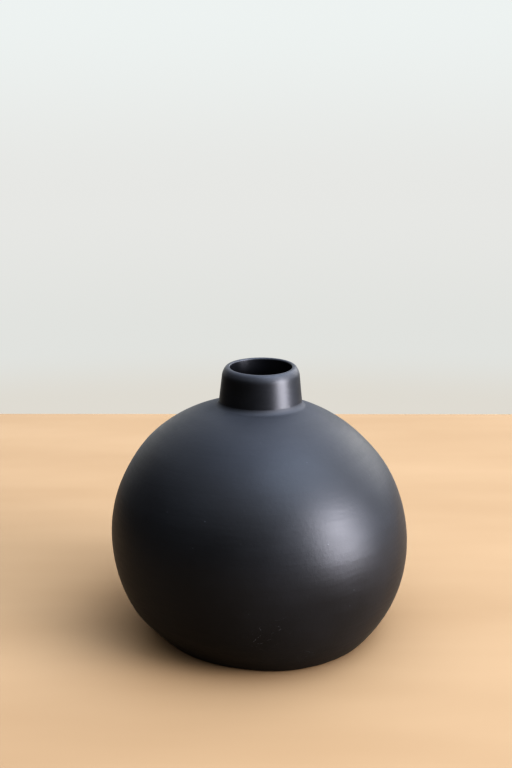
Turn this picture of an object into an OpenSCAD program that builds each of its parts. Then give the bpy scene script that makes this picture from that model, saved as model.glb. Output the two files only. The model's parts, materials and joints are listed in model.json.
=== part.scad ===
// Globe bud vase in stoneware: two thrown halves luted at the widest line, a thrown
// neck set on the shoulder with a clay coil, and three glaze coats over the clay.
// The vase stands on z = 0 and its axis is the Z axis. All sizes are millimetres.

/* [Globe] */
// Largest diameter, over the glaze
belly_d = 120; // [112:1:130]
// Height of the widest line above the table
belly_z = 39.6; // [37:0.2:42]
// Radius of the profile arc above the widest line
shoulder_arc_r = 55.8; // [54:0.2:58]
// Radius of the profile arc below the widest line
haunch_arc_r = 56.6; // [55:0.2:58.6]
// Thickness of the clay wall of the globe
wall_t = 4.6; // [3.6:0.2:6]

/* [Neck] */
// Overall height of the vase
height = 109.5; // [106:0.5:114]
// Diameter of the mouth, inside the glaze
mouth_d = 24; // [20:0.5:25]
// Radius of the roll over the top of the lip
lip_out_r = 2.2; // [1.6:0.1:2.6]
// Radius of the curve from the lip's roll to the side of the neck
lip_side_r = 5.5; // [4:0.5:7]
// Radius of the roll on the inside of the lip
lip_in_r = 0.6; // [0.5:0.1:1]
// Angle between the side of the neck and the axis, wider at the shoulder
neck_taper = 6.2; // [3:0.2:7]
// Radius of the hollow corner between neck and shoulder
fillet_r = 2.4; // [1.2:0.2:2.6]

/* [Foot and floor] */
// Thickness of the floor in the middle, without the recess under it
floor_t = 6.4; // [5:0.2:8]
// Radius of the bend between floor and wall, inside
floor_bend_r = 9; // [6:0.5:12]
// Radius of the edge between foot and wall, outside
foot_edge_r = 2; // [1.4:0.1:2.6]
// Width of the foot ring that touches the table
foot_ring_w = 6; // [4:0.5:9]
// Depth of the turned recess inside the foot ring
recess_depth = 1.4; // [0.8:0.1:2]
// Height of the bare clay below the lower edge of the glaze
bare_foot_h = 0.7; // [0.5:0.1:1]

/* [Joints and coats] */
// Thickness of each glaze coat
glaze_t = 0.4; // [0.3:0.05:0.5]
// Rise of the bevelled joint at the widest line, from inside to outside
bevel_rise = 3; // [1:0.5:5]
// Radius of the clay coil that is worked into the neck's corner
coil_r = 2.4; // [2.2:0.1:2.6]
// Depth of the neck's seat below the corner with the shoulder
seat_depth = 1.5; // [1:0.1:1.8]

/* [Hidden] */
$fn = 180;
margin = 5;
lip_turn = atan(3 / 4);
belly_r = belly_d / 2;
mouth_r = mouth_d / 2;
shoulder_x = belly_r - shoulder_arc_r;
haunch_x = belly_r - haunch_arc_r;
clay_colour = [0.16, 0.13, 0.11];
matte_colour = [0.05, 0.052, 0.058];
satin_colour = [0.03, 0.03, 0.034];
gloss_colour = [0.015, 0.015, 0.018];

// Centre of the roll over the top of the lip.
lip_x = mouth_r + lip_in_r;
lip_z = height - lip_out_r;

// Centre of the curve that leads from the roll to the side of the neck. It takes over
// from the roll where the roll faces lip_turn above the horizontal.
lip_side_x = lip_x - (lip_side_r - lip_out_r) * cos(lip_turn);
lip_side_z = lip_z - (lip_side_r - lip_out_r) * sin(lip_turn);

// Distance from the axis to the side of the neck at height z, drawn in by inset. The
// side is the line at neck_taper to the axis that touches the lip's side curve.
function neck_x(z, inset) =
    lip_side_x + (lip_side_r - inset) / cos(neck_taper) + (lip_side_z - z) * tan(neck_taper);

// Point at a distance and an angle from the centre of the lip's side curve.
function from_lip_side(dist, angle) =
    [lip_side_x + dist * cos(angle), lip_side_z + dist * sin(angle)];

// Height at which a line falling at neck_taper, side_x from the axis at z = 0,
// comes within dist of the centre of the shoulder arc.
function line_meets_shoulder(side_x, dist) =
    let (
        t = tan(neck_taper),
        gap = side_x - shoulder_x - belly_z * t,
        a = 1 + t * t,
        b = -gap * t,
        c = gap * gap - dist * dist
    )
    belly_z + (-b + sqrt(b * b - a * c)) / a;

// Corner of neck and shoulder on the clay, where the coil is laid.
corner_z = line_meets_shoulder(neck_x(0, glaze_t), shoulder_arc_r - glaze_t);
corner_x = neck_x(corner_z, glaze_t);
seat_z = corner_z - seat_depth;

// Centre of the hollow corner's arc, fillet_r away from the neck and the shoulder.
fillet_z = line_meets_shoulder(neck_x(0, -fillet_r), shoulder_arc_r + fillet_r);
fillet_x = neck_x(fillet_z, -fillet_r);
glaze_split_z = fillet_z - fillet_r * sin(neck_taper);

// Points where the hollow corner's arc leaves the neck and the shoulder.
function fillet_on_neck(inset) =
    let (z = glaze_split_z - inset * sin(neck_taper))
    [neck_x(z, inset), z];
function fillet_on_shoulder(inset) =
    let (share = (shoulder_arc_r - inset) / (shoulder_arc_r + fillet_r))
    [shoulder_x + share * (fillet_x - shoulder_x), belly_z + share * (fillet_z - belly_z)];

// Distance from the axis to the centre of the round edge between bottom and wall,
// whose arc touches both. It is also where the flat bottom ends.
function edge_centre_x(inset, bottom_z, edge_r) =
    let (
        reach = haunch_arc_r - inset - edge_r,
        drop = belly_z - bottom_z - edge_r
    )
    haunch_x + sqrt(reach * reach - drop * drop);

foot_flat_r = edge_centre_x(glaze_t, 0, foot_edge_r);

// Middle of the wall at the widest line.
joint_x = belly_r - glaze_t - wall_t / 2;

// Globe's half profile: two arcs that meet at the widest line, a flat bottom and a
// round edge between bottom and wall.
module globe_profile(inset, bottom_z, edge_r)
{
    lower_r = haunch_arc_r - inset;
    edge_z = bottom_z + edge_r;
    edge_x = edge_centre_x(inset, bottom_z, edge_r);
    reach = lower_r / (lower_r - edge_r);
    touch = [haunch_x + reach * (edge_x - haunch_x), belly_z - reach * (belly_z - edge_z)];
    difference() {
        intersection() {
            translate([haunch_x, belly_z]) circle(r = lower_r);
            translate([0, touch.y]) square([belly_d, height]);
        }
        difference() {
            translate([0, belly_z]) square([belly_d, height]);
            translate([shoulder_x, belly_z]) circle(r = shoulder_arc_r - inset);
        }
    }
    polygon([[0, bottom_z], [edge_x, bottom_z], touch, [0, touch.y]]);
    translate([edge_x, edge_z]) circle(r = edge_r);
}

// Neck's half profile with its rolled lip, solid to the axis.
module neck_profile(inset)
{
    side_r = lip_side_r - inset;
    top_z = height - inset;
    polygon([
        [0, belly_z],
        [neck_x(belly_z, inset), belly_z],
        from_lip_side(side_r, neck_taper),
        from_lip_side(side_r, lip_turn),
        [lip_x, top_z],
        [0, top_z]
    ]);
    translate([lip_x, lip_z]) circle(r = lip_out_r - inset);
    intersection() {
        translate([lip_side_x, lip_side_z]) circle(r = side_r);
        polygon([
            [lip_side_x, lip_side_z],
            from_lip_side(2 * side_r, neck_taper),
            from_lip_side(2 * side_r, lip_turn)
        ]);
    }
}

// Clay or glaze that fills the corner of neck and shoulder, with a hollow face.
module fillet_profile(inset)
{
    difference() {
        polygon([
            [shoulder_x, belly_z],
            fillet_on_shoulder(inset),
            [fillet_x, fillet_z],
            fillet_on_neck(inset)
        ]);
        translate([fillet_x, fillet_z]) circle(r = fillet_r + inset);
    }
}

// Outside of the vase, drawn in by inset: 0 is the glaze and glaze_t is the clay.
module outside_profile(inset)
{
    globe_profile(inset, inset - glaze_t, foot_edge_r + glaze_t - inset);
    neck_profile(inset);
    fillet_profile(inset);
}

// Hollow of the vase, let out by grow: 0 is the glaze and glaze_t is the clay.
module hollow_profile(grow)
{
    edge_r = lip_in_r - grow;
    globe_profile(wall_t + 2 * glaze_t - grow, floor_t + glaze_t - grow, floor_bend_r + grow);
    translate([0, belly_z]) square([mouth_r + grow, height]);
    difference() {
        translate([0, height - lip_in_r]) square([lip_x, height]);
        translate([lip_x, height - lip_in_r]) circle(r = edge_r);
    }
}

// Everything between two heights.
module band(low_z, high_z)
{
    translate([0, low_z]) square([belly_d, high_z - low_z]);
}

// All the clay, before it is divided into the pieces that were thrown apart.
module clay_profile()
{
    difference() {
        outside_profile(glaze_t);
        hollow_profile(glaze_t);
    }
}

// Everything under the bevelled joint at the widest line.
module below_joint_profile()
{
    polygon([
        [0, -margin],
        [belly_d, -margin],
        [belly_d, belly_z + bevel_rise],
        [joint_x + wall_t, belly_z + bevel_rise],
        [joint_x - wall_t, belly_z - bevel_rise],
        [0, belly_z - bevel_rise]
    ]);
}

// The neck and its seat, which reaches down into the shoulder.
module collar_zone_profile()
{
    translate([0, seat_z]) square([corner_x, height]);
}

module coil_section_profile()
{
    translate([corner_x, corner_z]) circle(r = coil_r);
}

// Turned recess that leaves a ring to stand on.
module recess_profile()
{
    ring_in_r = foot_flat_r - foot_ring_w;
    polygon([
        [0, -margin],
        [ring_in_r + margin, -margin],
        [ring_in_r - recess_depth, recess_depth],
        [0, recess_depth]
    ]);
}

// Thrown lower half: floor, foot ring and wall up to the bevelled joint.
module lower_bowl()
{
    color(clay_colour) rotate_extrude() difference() {
        intersection() {
            clay_profile();
            below_joint_profile();
        }
        recess_profile();
    }
}

// Thrown upper half, from the bevelled joint to the seat of the neck.
module upper_dome()
{
    color(clay_colour) rotate_extrude() difference() {
        clay_profile();
        below_joint_profile();
        collar_zone_profile();
        coil_section_profile();
    }
}

// Thrown neck with a rolled lip, standing on its seat in the shoulder.
module neck_collar()
{
    color(clay_colour) rotate_extrude() difference() {
        intersection() {
            clay_profile();
            collar_zone_profile();
        }
        coil_section_profile();
    }
}

// Coil of clay pressed into the corner and drawn out to a hollow curve.
module neck_coil()
{
    color(clay_colour) rotate_extrude() intersection() {
        clay_profile();
        coil_section_profile();
    }
}

// Matte coat over the globe and the coil. It stops above the bare foot.
module body_glaze()
{
    color(matte_colour) rotate_extrude() difference() {
        outside_profile(0);
        outside_profile(glaze_t);
        band(-margin, bare_foot_h);
        band(glaze_split_z, height + margin);
    }
}

// Satin coat on the side of the neck and over the lip.
module neck_glaze()
{
    color(satin_colour) rotate_extrude() difference() {
        intersection() {
            outside_profile(0);
            band(glaze_split_z, height + margin);
        }
        clay_profile();
        hollow_profile(0);
        square([mouth_r + glaze_t, height - lip_in_r]);
    }
}

// Glossy coat over the whole hollow, up to the roll inside the lip.
module liner_glaze()
{
    color(gloss_colour) rotate_extrude() difference() {
        intersection() {
            hollow_profile(glaze_t);
            band(0, height - lip_in_r);
        }
        hollow_profile(0);
    }
}

lower_bowl();
upper_dome();
neck_collar();
neck_coil();
body_glaze();
neck_glaze();
liner_glaze();
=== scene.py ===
"""A globe bud vase in black stoneware, built round its CAD frame.

Every piece is a lathed shell with the CAD part's own section. One gentle hand-made warp moves
all of them together, so the clay and the glaze coats stay face to face. All lengths are metres.
"""
import json
import math

import bpy
import numpy as np
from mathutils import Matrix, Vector


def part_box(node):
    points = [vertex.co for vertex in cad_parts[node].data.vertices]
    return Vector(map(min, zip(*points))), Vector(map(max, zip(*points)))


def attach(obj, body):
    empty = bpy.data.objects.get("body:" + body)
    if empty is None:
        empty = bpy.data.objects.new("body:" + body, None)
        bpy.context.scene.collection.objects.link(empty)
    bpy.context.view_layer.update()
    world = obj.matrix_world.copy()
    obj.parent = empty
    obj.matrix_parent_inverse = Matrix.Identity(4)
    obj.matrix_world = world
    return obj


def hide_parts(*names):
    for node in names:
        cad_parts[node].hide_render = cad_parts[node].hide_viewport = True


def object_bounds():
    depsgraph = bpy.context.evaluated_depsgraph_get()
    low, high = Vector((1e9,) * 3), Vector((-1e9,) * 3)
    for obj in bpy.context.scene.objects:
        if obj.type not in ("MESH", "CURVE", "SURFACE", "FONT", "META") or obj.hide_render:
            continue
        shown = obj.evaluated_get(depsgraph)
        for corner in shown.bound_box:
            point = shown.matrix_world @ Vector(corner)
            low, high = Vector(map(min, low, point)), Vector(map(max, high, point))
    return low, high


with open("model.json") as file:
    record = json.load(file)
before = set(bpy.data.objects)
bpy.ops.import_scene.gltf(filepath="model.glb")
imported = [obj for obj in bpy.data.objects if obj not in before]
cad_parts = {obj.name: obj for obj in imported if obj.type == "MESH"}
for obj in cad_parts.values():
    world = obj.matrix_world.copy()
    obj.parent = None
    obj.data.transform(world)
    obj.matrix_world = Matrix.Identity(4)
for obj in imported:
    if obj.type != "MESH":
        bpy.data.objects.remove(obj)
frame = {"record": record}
CAD_LOW, CAD_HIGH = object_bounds()
MM = 0.001

# ---------------------------------------------------------------- the part's dimensions

# Sizes that a node's box gives.
BELLY_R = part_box("body_glaze")[1].x
HEIGHT = CAD_HIGH.z
GLAZE_T = BELLY_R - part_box("lower_bowl")[1].x
HOLLOW_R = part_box("liner_glaze")[1].x
FLOOR_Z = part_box("liner_glaze")[0].z
LIP_INNER_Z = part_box("liner_glaze")[1].z
GLAZE_FOOT_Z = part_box("body_glaze")[0].z
NECK_GLAZE_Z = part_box("neck_glaze")[0].z
SEAT_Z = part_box("neck_collar")[0].z

# Sizes that no box gives, as in the part's source.
BELLY_Z = 39.6 * MM
SHOULDER_ARC_R = 55.8 * MM
HAUNCH_ARC_R = 56.6 * MM
MOUTH_R = 12.0 * MM
LIP_OUT_R = 2.2 * MM
LIP_SIDE_R = 5.5 * MM
LIP_TURN = math.atan(3 / 4)
NECK_TAPER = math.radians(6.2)
FILLET_R = 2.4 * MM
FOOT_EDGE_R = 2.0 * MM
FLOOR_BEND_R = 9.0 * MM
FOOT_RING_W = 6.0 * MM
RECESS = 1.4 * MM
BEVEL_RISE = 3.0 * MM
COIL_R = 2.4 * MM

LIP_IN_R = HEIGHT - LIP_INNER_Z
LIP = (MOUTH_R + LIP_IN_R, HEIGHT - LIP_OUT_R)
LIP_SIDE = (
    LIP[0] - (LIP_SIDE_R - LIP_OUT_R) * math.cos(LIP_TURN),
    LIP[1] - (LIP_SIDE_R - LIP_OUT_R) * math.sin(LIP_TURN),
)
SHOULDER_X = BELLY_R - SHOULDER_ARC_R
HAUNCH_X = BELLY_R - HAUNCH_ARC_R
WALL_T = BELLY_R - GLAZE_T - HOLLOW_R

# ---------------------------------------------------------------- sections as rows of points

FINE = 0.75 * MM
COARSE = 3.0 * MM


def arc(centre, radius, start, end, step):
    """Points on an arc from one angle to another, in radians, about step apart."""
    count = max(2, math.ceil(abs(end - start) * radius / step) + 1)
    angles = np.linspace(start, end, count)
    return np.stack([centre[0] + radius * np.cos(angles), centre[1] + radius * np.sin(angles)], 1)


def line(start, end, step):
    """Points on a straight line, about step apart."""
    start, end = np.array(start, float), np.array(end, float)
    count = max(2, math.ceil(np.linalg.norm(end - start) / step) + 1)
    return start + np.linspace(0, 1, count)[:, None] * (end - start)


def join(*rows):
    """Rows end to end, each point once."""
    points = [rows[0]]
    for row in rows[1:]:
        points.append(row[1:] if np.allclose(row[0], points[-1][-1], atol=1e-8) else row)
    return np.concatenate(points)


def cut(row, key):
    """Cuts a row where key(points) first rises through zero. Both halves get the cut point."""
    values = key(row)
    i = np.flatnonzero((values[:-1] < 0) & (values[1:] >= 0))[0]
    share = values[i] / (values[i] - values[i + 1])
    point = row[i] + share * (row[i + 1] - row[i])
    return np.vstack([row[: i + 1], point]), np.vstack([point, row[i + 1 :]])


def above(height):
    """A key for cut: how far points are above a height."""
    return lambda points: points[:, 1] - height


def neck_x(z, inset):
    """Distance from the axis to the neck's side at a height, drawn in by inset."""
    touch = LIP_SIDE[0] + (LIP_SIDE_R - inset) / math.cos(NECK_TAPER)
    return touch + (LIP_SIDE[1] - z) * math.tan(NECK_TAPER)


def line_meets_shoulder(side_x, dist):
    """Height at which the neck's sloping line is dist from the shoulder arc's centre.

    side_x is that line's distance from the axis at z = 0.
    """
    t = math.tan(NECK_TAPER)
    gap = side_x - SHOULDER_X - BELLY_Z * t
    a, b, c = 1 + t * t, -gap * t, gap * gap - dist * dist
    return BELLY_Z + (-b + math.sqrt(b * b - a * c)) / a


def edge_centre(inset, bottom_z, edge_r):
    """Centre of the round edge that joins a flat bottom to the haunch arc."""
    reach = HAUNCH_ARC_R - inset - edge_r
    drop = BELLY_Z - bottom_z - edge_r
    return HAUNCH_X + math.sqrt(reach * reach - drop * drop), bottom_z + edge_r


def globe_side(inset, bottom_z, edge_r, top_z, step):
    """From the flat bottom's rim, round the edge, up the haunch and the shoulder to top_z."""
    edge = edge_centre(inset, bottom_z, edge_r)
    touch = math.atan2(edge[1] - BELLY_Z, edge[0] - HAUNCH_X)
    top = math.asin((top_z - BELLY_Z) / (SHOULDER_ARC_R - inset))
    return join(
        arc(edge, edge_r, -math.pi / 2, touch, min(step, edge_r / 5)),
        arc((HAUNCH_X, BELLY_Z), HAUNCH_ARC_R - inset, touch, 0, step),
        arc((SHOULDER_X, BELLY_Z), SHOULDER_ARC_R - inset, 0, top, step),
    )


FILLET_Z = line_meets_shoulder(neck_x(0, -FILLET_R), SHOULDER_ARC_R + FILLET_R)
FILLET = (neck_x(FILLET_Z, -FILLET_R), FILLET_Z)
CORNER_Z = line_meets_shoulder(neck_x(0, GLAZE_T), SHOULDER_ARC_R - GLAZE_T)
CORNER = (neck_x(CORNER_Z, GLAZE_T), CORNER_Z)


def outside(inset, step):
    """The outer side from the foot to the top of the lip."""
    down_to_shoulder = math.atan2(BELLY_Z - FILLET[1], SHOULDER_X - FILLET[0])
    shoulder_z = FILLET[1] + (FILLET_R + inset) * math.sin(down_to_shoulder)
    fillet = arc(FILLET, FILLET_R + inset, down_to_shoulder, NECK_TAPER - math.pi, step / 4)
    lip_side = arc(LIP_SIDE, LIP_SIDE_R - inset, NECK_TAPER, LIP_TURN, step / 2)
    return join(
        globe_side(inset, inset - GLAZE_T, FOOT_EDGE_R + GLAZE_T - inset, shoulder_z, step),
        fillet,
        line(fillet[-1], lip_side[0], step),
        lip_side,
        arc(LIP, LIP_OUT_R - inset, LIP_TURN, math.pi / 2, step / 4),
    )


def lip_inside(inset, step):
    """From the top of the lip round its inner roll, down to where the bore begins."""
    return arc((LIP[0], LIP_INNER_Z), LIP_IN_R - inset, math.pi / 2, math.pi, step / 4)


def hollow(grow, step):
    """The inner side from the middle of the floor to the lip's inner roll."""
    inset = WALL_T + 2 * GLAZE_T - grow
    floor_z = FLOOR_Z + GLAZE_T - grow
    reach = SHOULDER_ARC_R - inset
    bore_x = MOUTH_R + grow
    bore_z = BELLY_Z + math.sqrt(reach * reach - (bore_x - SHOULDER_X) ** 2)
    side = globe_side(inset, floor_z, FLOOR_BEND_R + grow, bore_z, step)
    return join(
        line((0, floor_z), side[0], step),
        side,
        line((bore_x, bore_z), (bore_x, LIP_INNER_Z), step),
    )


def inside_coil(points):
    """How far points are inside the round of clay that is worked into the neck's corner."""
    return COIL_R - np.hypot(points[:, 0] - CORNER[0], points[:, 1] - CORNER[1])


def outside_coil(points):
    """How far points are outside that round of clay."""
    return -inside_coil(points)


def above_joint(points):
    """How far points are above the bevelled joint of the two halves."""
    middle = BELLY_R - GLAZE_T - WALL_T / 2
    return points[:, 1] - BELLY_Z - BEVEL_RISE / WALL_T * (points[:, 0] - middle)


def coil_arc(start, end, turn):
    """The coil's round side in the clay, from one point on it to another."""
    first, last = (math.atan2(p[1] - CORNER[1], p[0] - CORNER[0]) for p in (start, end))
    last += 2 * math.pi * round((first + turn - last) / (2 * math.pi))
    return arc(CORNER, COIL_R, first, last, COIL_R / 8)


def sections():
    """Each node's section as one closed row of points, listed with the clay on the left."""
    glaze, clay = outside(0, FINE), outside(GLAZE_T, COARSE)
    liner, wall = hollow(0, 2 * FINE), hollow(GLAZE_T, COARSE)
    foot = outside(GLAZE_T, FINE)[:1]
    made = {}

    coat = cut(cut(glaze, above(GLAZE_FOOT_Z))[1], above(NECK_GLAZE_Z))
    back = cut(cut(clay, above(GLAZE_FOOT_Z))[1], above(NECK_GLAZE_Z))
    made["body_glaze"] = join(coat[0], back[0][::-1])
    rim = join(coat[1], lip_inside(0, FINE))
    rim_back = join(back[1], lip_inside(GLAZE_T, FINE))
    made["neck_glaze"] = join(rim, rim_back[::-1])
    made["liner_glaze"] = join(liner, wall[::-1])

    bowl_side, dome_side = cut(clay, above_joint)
    bowl_wall, dome_wall = cut(wall, above_joint)
    ring_x = foot[0, 0] - FOOT_RING_W
    recess = np.array([(0, RECESS), (ring_x - RECESS, RECESS), (ring_x, 0)])
    recess = join(line(recess[0], recess[1], FINE), line(recess[1], recess[2], FINE / 2))
    made["lower_bowl"] = join(
        recess, line(recess[-1], foot[0], FINE), bowl_side,
        line(bowl_side[-1], bowl_wall[-1], FINE), bowl_wall[::-1],
    )

    dome_top, rest = cut(dome_side, inside_coil)
    coil_top, neck_side = cut(rest, outside_coil)
    seat_wall, neck_wall = cut(dome_wall, above(SEAT_Z))
    seat_x = CORNER[0] - math.sqrt(COIL_R**2 - (CORNER[1] - SEAT_Z) ** 2)
    seat = np.array([seat_x, SEAT_Z])
    made["upper_dome"] = join(
        dome_top, coil_arc(dome_top[-1], seat, -1), line(seat, seat_wall[-1], FINE),
        seat_wall[::-1], line(seat_wall[0], dome_top[0], FINE),
    )
    made["neck_collar"] = join(
        neck_side, lip_inside(GLAZE_T, FINE), neck_wall[::-1],
        line(neck_wall[0], seat, FINE), coil_arc(seat, neck_side[0], -1),
    )
    made["neck_coil"] = join(coil_top, coil_arc(coil_top[-1], coil_top[0], 3))
    return made


# ---------------------------------------------------------------- the hand-made warp

FRONT = -math.pi / 2
FOOT_R = edge_centre(0, -GLAZE_T, FOOT_EDGE_R + GLAZE_T)[0]
# The height from which the neck tilts and its lip wanders.
NECK_BASE_Z = 96 * MM

# Drift of the section's centre to the right at some heights: (height, drift) in millimetres.
LEAN = ((0, 1.1), (20, 0.35), (39.6, -0.3), (60, -0.9), (78, -1.25), (88, -0.7), (94, 0), (120, 0))
# How far the globe's side wanders in and out.
OVAL = 0.12 * MM
WIDE_DENTS = 0.10 * MM
NARROW_DENTS = 0.07 * MM
RING_DEPTH = 0.007 * MM
RING_PITCH = 6.5 * MM
FLAT_SPOT = 1.8 * MM
# The shoulder's fall for each metre to the right, and the neck's tilt to the front.
SLUMP = 0.022
NECK_TILT = math.radians(2.9)
# How far the lip wanders up and down, and in and out.
LIP_WAVE = 0.06 * MM
LIP_DROP = 0.04 * MM
LIP_LOBES = 0.06 * MM
LIP_SHIFT = 0.10 * MM
MOUTH_FLARE = 0.3 * MM


def ease(x, low, high):
    """0 below low, 1 above high, and smooth between."""
    t = np.clip((x - low) / (high - low), 0, 1)
    return t * t * (3 - 2 * t)


def lean(z):
    """Sideways drift of the section's centre, in the way a soft globe settles on the wheel."""
    heights, drifts = np.array(LEAN).T * MM
    return np.interp(z, heights, drifts)


def globe_swell(angle, z):
    """How far the globe's side stands out: a slight oval, shallow dents and throwing rings."""
    on_globe = ease(z, 1 * MM, 14 * MM) * (1 - ease(z, 78 * MM, 92 * MM))
    oval = OVAL * np.cos(2 * (angle - 0.6))
    dents = WIDE_DENTS * np.sin(3 * angle + 1.1 + 70 * z)
    dents += NARROW_DENTS * np.sin(5 * angle - 2.0 - 110 * z)
    rings = RING_DEPTH * np.sin(z * 2 * math.pi / RING_PITCH + 0.8 * np.sin(angle))
    return on_globe * (oval + dents + rings)


def foot_flat(angle, z):
    """How far the foot is pressed in, a little to the left of its front."""
    on_foot = 1 - ease(z, 0, 16 * MM)
    return FLAT_SPOT * on_foot * ease(np.cos(angle - FRONT + 0.63), 0.6, 1)


def lip_swell(angle, radius, z):
    """How far the neck's side stands out towards the lip, and how far the mouth flares."""
    on_neck = ease(z, NECK_BASE_Z, HEIGHT)
    lobes = LIP_LOBES * np.cos(3 * angle - 0.9) + LIP_SHIFT * np.cos(angle)
    in_mouth = ease(z, HEIGHT - 6 * MM, HEIGHT) * (1 - ease(radius, MOUTH_R + GLAZE_T, 15 * MM))
    return on_neck * lobes + MOUTH_FLARE * in_mouth


def rise(x, y, z, angle):
    """How far points go up: the shoulder slumps to one side, and the neck tilts and waves."""
    on_shoulder = ease(z, 62 * MM, 84 * MM) * (1 - ease(z, 90 * MM, 97 * MM))
    on_neck = ease(z, NECK_BASE_Z, HEIGHT)
    wave = LIP_WAVE * np.sin(2 * angle + 0.4) - LIP_DROP
    return on_neck * (math.tan(NECK_TILT) * y + wave) - SLUMP * x * on_shoulder


def warp(points):
    """Moves points of the ideal vase to where a hand-made one has them."""
    x, y, z = points.T.copy()
    angle = np.arctan2(y, x)
    radius = np.hypot(x, y)
    swell = globe_swell(angle, z) * radius / BELLY_R
    swell -= foot_flat(angle, z) * radius / FOOT_R
    swell += lip_swell(angle, radius, z)
    scale = 1 + swell / np.maximum(radius, MM)
    return np.stack([x * scale + lean(z), y * scale, z + rise(x, y, z, angle)], 1)


# ---------------------------------------------------------------- lathed pieces

SEGMENTS = 320
SHARP_ANGLE = math.radians(35)


def lathe(name, section):
    """A closed mesh made by turning a closed section about the axis, then warped."""
    if np.allclose(section[0], section[-1], atol=1e-8):
        section = section[:-1]
    following = np.roll(section, -1, axis=0)
    if np.sum(section[:, 0] * following[:, 1] - following[:, 0] * section[:, 1]) < 0:
        section = section[::-1]
    on_axis = section[:, 0] < 1e-9
    angles = FRONT + np.arange(SEGMENTS) * 2 * math.pi / SEGMENTS

    points, rings = [], []
    for (x, z), pole in zip(section, on_axis):
        first = len(points)
        turned = angles[:1] if pole else angles
        points += [(x * math.cos(a), x * math.sin(a), z) for a in turned]
        rings.append(range(first, len(points)))

    faces = []
    for this, other in zip(rings, rings[1:] + rings[:1]):
        if len(this) == len(other) == 1:
            continue
        for i in range(SEGMENTS):
            j = (i + 1) % SEGMENTS
            if len(this) == 1:
                faces.append((this[0], other[j], other[i]))
            elif len(other) == 1:
                faces.append((this[i], this[j], other[0]))
            else:
                faces.append((this[i], this[j], other[j], other[i]))

    mesh = bpy.data.meshes.new(name)
    mesh.from_pydata(warp(np.array(points)).tolist(), [], faces)
    mesh.shade_smooth()
    mesh.set_sharp_from_angle(angle=SHARP_ANGLE)
    piece = bpy.data.objects.new(name, mesh)
    bpy.context.scene.collection.objects.link(piece)
    return piece


# ---------------------------------------------------------------- materials


class Graph:
    """A node tree, with short calls for the nodes that the materials and the room share."""

    def __init__(self, tree):
        self.tree = tree

    def add(self, kind, **settings):
        node = self.tree.nodes.new(kind)
        for key, value in settings.items():
            setattr(node, key, value)
        return node

    def link(self, source, target):
        self.tree.links.new(source, target)

    def ramp(self, value, *stops, interpolation="LINEAR"):
        """Maps a value to numbers or colours. Each stop is (position, number or colour)."""
        node = self.add("ShaderNodeValToRGB")
        node.color_ramp.interpolation = interpolation
        elements = node.color_ramp.elements
        while len(elements) < len(stops):
            elements.new(0.5)
        for element, (position, colour) in zip(elements, stops):
            element.position = position
            grey = isinstance(colour, (int, float))
            element.color = (colour, colour, colour, 1) if grey else (*colour, 1)
        self.link(value, node.inputs["Fac"])
        return node.outputs["Color"]

    def maths(self, operation, a, b):
        """One operation on a and b, which are numbers or sockets."""
        node = self.add("ShaderNodeMath", operation=operation)
        for socket, value in zip(node.inputs, (a, b)):
            if isinstance(value, (int, float)):
                socket.default_value = value
            else:
                self.link(value, socket)
        return node.outputs["Value"]

    def measure(self, operation, vector, other):
        """A number from a vector socket and a fixed vector, such as their DISTANCE."""
        node = self.add("ShaderNodeVectorMath", operation=operation)
        node.inputs[1].default_value = other
        self.link(vector, node.inputs[0])
        return node.outputs["Value"]

    def mix(self, share, a, b):
        """Colour a where share is 0 and b where it is 1. Both are colours or sockets."""
        node = self.add("ShaderNodeMix", data_type="RGBA")
        self.link(share, node.inputs["Factor"])
        for socket, value in ((node.inputs["A"], a), (node.inputs["B"], b)):
            if isinstance(value, tuple):
                socket.default_value = (*value, 1)
            else:
                self.link(value, socket)
        return node.outputs["Result"]


class Surface(Graph):
    """A material's node tree. Its noises and dots lie in the object's own coordinates, in metres."""

    def __init__(self, name):
        self.material = bpy.data.materials.new(name)
        self.material.use_nodes = True
        super().__init__(self.material.node_tree)
        self.shader = self.tree.nodes["Principled BSDF"]
        self.place = self.add("ShaderNodeTexCoord").outputs["Object"]

    def stretched(self, scale):
        """The object's own coordinates, stretched by scale along X, Y and Z."""
        mapping = self.add("ShaderNodeMapping")
        mapping.inputs["Scale"].default_value = scale
        self.link(self.place, mapping.inputs["Vector"])
        return mapping.outputs["Vector"]

    def noise(self, per_metre, detail=3.0, stretch=(1, 1, 1)):
        """Smooth noise from 0 to 1. Stretch packs its waves per metre closer along X, Y and Z."""
        node = self.add("ShaderNodeTexNoise")
        node.inputs["Scale"].default_value = per_metre
        node.inputs["Detail"].default_value = detail
        self.link(self.stretched(stretch), node.inputs["Vector"])
        return node.outputs["Fac"]

    def dots(self, per_metre):
        """Distance to the nearest of many scattered points, and a random number for that point."""
        node = self.add("ShaderNodeTexVoronoi", feature="F1")
        node.inputs["Scale"].default_value = per_metre
        self.link(self.place, node.inputs["Vector"])
        channels = self.add("ShaderNodeSeparateColor")
        self.link(node.outputs["Color"], channels.inputs["Color"])
        return node.outputs["Distance"], channels.outputs["Red"]

    def distance(self, point, unit):
        """Distance from a point, in units of unit metres."""
        return self.maths("DIVIDE", self.measure("DISTANCE", self.place, point), unit)

    def bump(self, height, depth, under=None):
        """A bump of a real depth in metres, on top of another bump."""
        node = self.add("ShaderNodeBump")
        node.inputs["Strength"].default_value = 1
        node.inputs["Distance"].default_value = depth
        self.link(height, node.inputs["Height"])
        if under is not None:
            self.link(under, node.inputs["Normal"])
        return node.outputs["Normal"]

    def finish(self, colour, roughness, normal, ior):
        """Joins colour, roughness and bump to the shader, and gives the finished material."""
        self.link(colour, self.shader.inputs["Base Color"])
        self.link(roughness, self.shader.inputs["Roughness"])
        self.link(normal, self.shader.inputs["Normal"])
        self.shader.inputs["IOR"].default_value = ior
        return self.material


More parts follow.
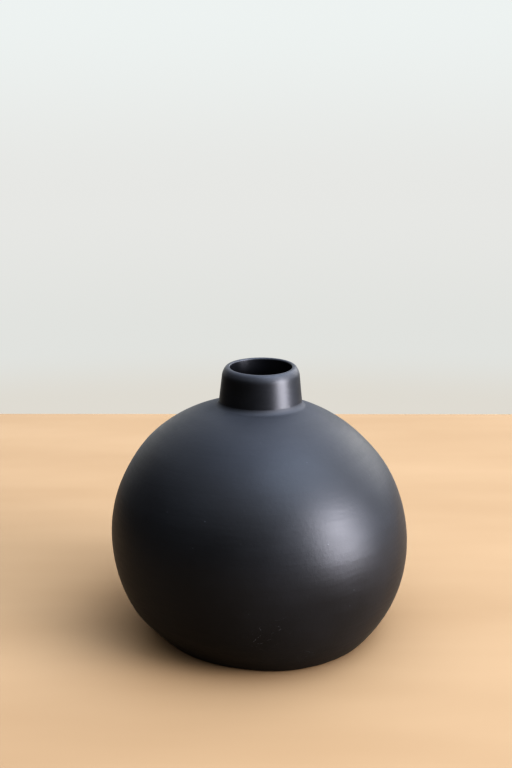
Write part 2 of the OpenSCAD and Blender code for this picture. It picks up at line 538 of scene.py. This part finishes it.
def specks(nodes, per_metre, size, share):
    """A mask of small round specks: size is their radius in cells, share is how many cells have one."""
    distance, chance = nodes.dots(per_metre)
    spot = nodes.ramp(distance, (size * 0.5, 1.0), (size, 0.0))
    chosen = nodes.ramp(chance, (1 - share - 0.005, 0.0), (1 - share, 1.0))
    return nodes.maths("MULTIPLY", spot, chosen)


# How far the dust and painted sheen round the neck reach from the middle of the neck's corner,
# and how far down the lip the thin glaze and painted highlight go.
DUST_AND_SHEEN_REACH = 40 * MM
LIP_THIN_AND_HIGHLIGHT = 2.4 * MM

# Places where the matte glaze is rubbed chalky: a point on the globe and how far the rub reaches.
RUBS = (
    ((1 * MM, -57 * MM, 20 * MM), 8 * MM),
    ((8 * MM, -57 * MM, 25 * MM), 6 * MM),
    ((17 * MM, -49 * MM, 10 * MM), 5 * MM),
    ((33 * MM, -49 * MM, 30 * MM), 4 * MM),
    ((-35 * MM, 44 * MM, 24 * MM), 7 * MM),
    ((45 * MM, 30 * MM, 18 * MM), 5 * MM),
)


def scuffs(nodes):
    """A mask of short, hair-thin chalky scuffs in a few rubbed places."""
    thread = nodes.noise(155, 0.5, (1, 1, 1.8))
    hairs = nodes.ramp(thread, (0.489, 0.0), (0.5, 1.0), (0.511, 0.0))
    breaks = nodes.ramp(nodes.noise(950, 1.0), (0.50, 0.0), (0.58, 1.0))
    hairs = nodes.maths("MULTIPLY", hairs, breaks)
    rubbed = None
    for place, reach in RUBS:
        patch = nodes.ramp(nodes.distance(place, reach), (0.3, 1.0), (1.0, 0.0))
        rubbed = patch if rubbed is None else nodes.maths("MAXIMUM", rubbed, patch)
    return nodes.maths("MULTIPLY", hairs, rubbed)


def dust_and_painted_sheen(nodes):
    """A mask of fine dust in the corner of neck and shoulder; its lighter colour is also a painted
    sheen.
    """
    share = nodes.distance((0, 0, CORNER_Z), DUST_AND_SHEEN_REACH)
    near = nodes.ramp(share, (0.50, 1.0), (0.68, 0.4), (1.0, 0.0))
    patchy = nodes.ramp(nodes.noise(70, 3.0), (0.3, 0.75), (0.7, 1.0))
    return nodes.maths("MULTIPLY", near, patchy)


def matte_glaze():
    """The globe's coat: matte black, clouding, throwing streaks, specks, scuffs, dust and painted
    sheen.
    """
    nodes = Surface("matte_glaze")
    cloud = nodes.noise(38, 4.0)
    colour = nodes.ramp(cloud, (0.3, (0.0090, 0.0088, 0.0088)), (0.7, (0.0125, 0.0126, 0.0132)))
    dust_and_sheen = dust_and_painted_sheen(nodes)
    # Lighter round the neck's corner: partly dust, partly a painted sheen on the shoulder.
    colour = nodes.mix(dust_and_sheen, colour, (0.024, 0.0245, 0.026))
    streak = nodes.noise(90, 3.0, (1, 1, 9))
    mottle = nodes.noise(620, 3.0)
    spots = specks(nodes, 700, 0.22, 0.004)
    spots = nodes.maths("MULTIPLY", spots, 0.35)
    marks = nodes.maths("MAXIMUM", spots, nodes.maths("MULTIPLY", scuffs(nodes), 0.75))
    colour = nodes.mix(marks, colour, (0.10, 0.105, 0.11))
    rough = nodes.maths(
        "ADD",
        nodes.ramp(cloud, (0.3, 0.39), (0.7, 0.44)),
        nodes.ramp(streak, (0.35, 0.0), (0.65, 0.03)),
    )
    rough = nodes.maths("ADD", rough, nodes.maths("MULTIPLY", dust_and_sheen, 0.20))
    normal = nodes.bump(nodes.noise(2600, 2.0), 0.012 * MM)
    normal = nodes.bump(mottle, 0.035 * MM, normal)
    normal = nodes.bump(streak, 0.03 * MM, normal)
    normal = nodes.bump(marks, 0.04 * MM, normal)
    return nodes.finish(colour, rough, normal, 1.37)


def thin_glaze_and_painted_highlight(nodes):
    """A mask of the lip's top, greyer where the glaze ran thin in the kiln and where a highlight is
    painted.
    """
    place = nodes.add("ShaderNodeSeparateXYZ")
    nodes.link(nodes.place, place.inputs["Vector"])
    wander = nodes.maths("MULTIPLY", nodes.noise(260, 3.0), 1.6 * MM)
    height = nodes.maths("ADD", place.outputs["Z"], wander)
    share = nodes.maths("DIVIDE", nodes.maths("SUBTRACT", height, HEIGHT - LIP_THIN_AND_HIGHLIGHT), LIP_THIN_AND_HIGHLIGHT)
    return nodes.ramp(share, (0.0, 0.0), (1.0, 1.0))


def satin_glaze():
    """The neck's coat: smoother than the globe's, and grey on the lip's top, partly thin glaze, partly
    painted highlight.
    """
    nodes = Surface("satin_glaze")
    cloud = nodes.noise(120, 3.0)
    colour = nodes.ramp(cloud, (0.3, (0.0065, 0.0065, 0.0067)), (0.7, (0.0100, 0.0100, 0.0108)))
    thin_and_highlight = thin_glaze_and_painted_highlight(nodes)
    # Greyer on top of the lip: partly thin glaze, partly a painted highlight.
    colour = nodes.mix(thin_and_highlight, colour, (0.022, 0.022, 0.0235))
    streak = nodes.noise(160, 3.0, (1, 1, 6))
    rough = nodes.ramp(streak, (0.3, 0.385), (0.7, 0.425))
    rough = nodes.maths("ADD", rough, nodes.maths("MULTIPLY", thin_and_highlight, 0.04))
    normal = nodes.bump(nodes.noise(1500, 2.0), 0.006 * MM)
    normal = nodes.bump(streak, 0.03 * MM, normal)
    return nodes.finish(colour, rough, normal, 1.4)


def gloss_glaze():
    """The coat inside, poured in and out, so smooth and slightly uneven."""
    nodes = Surface("gloss_glaze")
    cloud = nodes.noise(60, 2.0)
    colour = nodes.ramp(cloud, (0.3, (0.006, 0.006, 0.0065)), (0.7, (0.009, 0.009, 0.010)))
    rough = nodes.ramp(cloud, (0.3, 0.30), (0.7, 0.38))
    normal = nodes.bump(nodes.noise(180, 2.0), 0.05 * MM)
    return nodes.finish(colour, rough, normal, 1.45)


def bare_clay():
    """Dark unglazed stoneware with paler grains of grog."""
    nodes = Surface("bare_clay")
    cloud = nodes.noise(150, 4.0)
    colour = nodes.ramp(cloud, (0.3, (0.032, 0.024, 0.019)), (0.7, (0.06, 0.046, 0.037)))
    grog = specks(nodes, 1300, 0.35, 0.2)
    colour = nodes.mix(grog, colour, (0.13, 0.10, 0.08))
    rough = nodes.ramp(cloud, (0.3, 0.82), (0.7, 0.95))
    normal = nodes.bump(nodes.noise(2200, 4.0), 0.05 * MM)
    normal = nodes.bump(grog, 0.06 * MM, normal)
    return nodes.finish(colour, rough, normal, 1.45)


SLOTS = {m["node"]: m["material_slot"] for m in frame["record"]["subparts"]}
MATERIALS = {
    "bare_clay": bare_clay(),
    "matte_glaze": matte_glaze(),
    "satin_glaze": satin_glaze(),
    "gloss_glaze": gloss_glaze(),
}

for node, section in sections().items():
    piece = lathe(node + "_shell", section)
    piece.data.materials.append(MATERIALS[SLOTS[node]])
    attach(piece, "root")
    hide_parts(node)

# ---------------------------------------------------------------- camera

# A 50 mm lens on a full frame, held upright.
LENS = 50 * MM
FRAME_LONG = 36 * MM
VIEW_ELEVATION = math.radians(21.5)
VIEW_DISTANCE = 7.375 * BELLY_R
# The middle of the warped globe, a little to the left of the foot's.
GLOBE_MIDDLE = Vector((-0.5 * MM, 0, BELLY_Z))
# How far the globe's middle is from the middle of the picture, as shares of the long side.
AIM_RIGHT = 0.0044
AIM_DOWN = 0.1926

camera = bpy.data.objects.new("camera", bpy.data.cameras.new("camera"))
bpy.context.scene.collection.objects.link(camera)
bpy.context.scene.camera = camera
camera.data.lens = LENS / MM
camera.data.sensor_width = FRAME_LONG / MM
camera.data.clip_start = 0.01


def aim_camera():
    """Puts the camera on its line to the globe's middle, then turns it to frame the globe low."""
    back = Vector((0, -math.cos(VIEW_ELEVATION), math.sin(VIEW_ELEVATION)))
    pitch = VIEW_ELEVATION - math.atan(AIM_DOWN * FRAME_LONG / LENS)
    yaw = math.atan(AIM_RIGHT * FRAME_LONG / LENS)
    camera.location = GLOBE_MIDDLE + VIEW_DISTANCE * back
    camera.rotation_euler = (math.pi / 2 - pitch, 0, yaw)


aim_camera()

# ---------------------------------------------------------------- floor, sky and lights

TABLE_DEPTH = 0.66
TABLE_LENGTH = 0.7
LIGHT_DISTANCE = 2.6
# Straight up, and straight away from the camera.
UP = (0, 0, 1)
BACK = (0, 1, 0)


def floor():
    """A plain pale table top with a matte finish. The vase stands in its middle."""
    right, back = TABLE_LENGTH / 2, TABLE_DEPTH / 2
    mesh = bpy.data.meshes.new("floor")
    corners = [(-right, -back, 0), (right, -back, 0), (right, back, 0), (-right, back, 0)]
    mesh.from_pydata(corners, [], [(0, 1, 2, 3)])
    piece = bpy.data.objects.new("floor", mesh)
    bpy.context.scene.collection.objects.link(piece)
    nodes = Surface("floor")
    cloud = nodes.noise(7, 3.0, (0.5, 2, 1))
    colour = nodes.ramp(cloud, (0.3, (0.205, 0.142, 0.084)), (0.7, (0.229, 0.162, 0.098)))
    rough = nodes.ramp(nodes.noise(20, 2.0), (0.3, 0.55), (0.7, 0.62))
    normal = nodes.bump(nodes.noise(400, 2.0), 0.01 * MM)
    piece.data.materials.append(nodes.finish(colour, rough, normal, 1.1))


def toward(azimuth, elevation):
    """Unit vector from the vase: azimuth is degrees to the camera's right, elevation degrees up."""
    a, e = math.radians(azimuth), math.radians(elevation)
    return Vector((math.sin(a) * math.cos(e), -math.cos(a) * math.cos(e), math.sin(e)))


def sky():
    """A room that is bright above and on the right. The camera sees its pale wall on every side."""
    world = bpy.data.worlds.new("room")
    bpy.context.scene.world = world
    world.use_nodes = True
    room = Graph(world.node_tree)
    direction = room.add("ShaderNodeTexCoord").outputs["Generated"]

    def along(axis, *stops):
        """A colour by direction: a stop at 1 is along the axis, and a stop at 0 is opposite."""
        share = room.add("ShaderNodeMapRange")
        share.inputs["From Min"].default_value = -1
        room.link(room.measure("DOT_PRODUCT", direction, axis), share.inputs["Value"])
        return room.ramp(share.outputs["Result"], *stops, interpolation="EASE")

    glow = along(
        toward(78, 35),
        (0.25, (0.10, 0.10, 0.10)),
        (0.45, (0.15, 0.16, 0.17)),
        (0.70, (0.54, 0.57, 0.64)),
        (0.95, (1.40, 1.54, 1.82)),
    )
    ceiling = along(
        UP,
        (0.42, (0.00, 0.00, 0.00)),
        (0.62, (0.07, 0.07, 0.07)),
        (0.85, (1.08, 1.16, 1.32)),
        (1.00, (1.50, 1.72, 2.20)),
    )
    wall = along(
        UP,
        (0.376, (0.468, 0.455, 0.425)),
        (0.400, (0.475, 0.480, 0.467)),
        (0.467, (0.495, 0.497, 0.487)),
        (0.555, (0.520, 0.538, 0.533)),
        (0.750, (0.950, 0.980, 1.020)),
    )
    behind = along(BACK, (0.80, 0.0), (0.975, 1.0))
    both = room.add("ShaderNodeVectorMath", operation="ADD")
    room.link(glow, both.inputs[0])
    room.link(ceiling, both.inputs[1])
    around = room.mix(behind, both.outputs["Vector"], wall)
    ray = room.add("ShaderNodeLightPath")
    seen = room.mix(ray.outputs["Is Camera Ray"], around, wall)
    room.link(seen, room.tree.nodes["Background"].inputs["Color"])


def light(name, direction, size, watts, colour):
    """A soft rectangular light that faces the globe from a direction."""
    data = bpy.data.lights.new(name, "AREA")
    data.shape = "RECTANGLE"
    data.size, data.size_y = size
    data.energy = watts
    data.color = colour
    lamp = bpy.data.objects.new(name, data)
    bpy.context.scene.collection.objects.link(lamp)
    lamp.location = Vector((0, 0, BELLY_Z)) + LIGHT_DISTANCE * direction
    lamp.rotation_euler = direction.to_track_quat("Z", "Y").to_euler()
    lamp.visible_camera = False


floor()
sky()
light("window", toward(64, 7.5), (1.5, 2.3), 199, (0.93, 0.92, 1.0))
light("ceiling", toward(64, 60), (2.2, 1.8), 40, (0.68, 0.80, 1.0))
light("back_window", toward(138, 20), (1.8, 1.5), 14, (1.0, 0.98, 0.96))
light("left_wall", toward(-147, 16), (2.2, 1.5), 4.5, (1.0, 0.97, 0.93))

bpy.context.scene.view_settings.view_transform = "Standard"
bpy.context.scene.view_settings.look = "Very High Contrast"
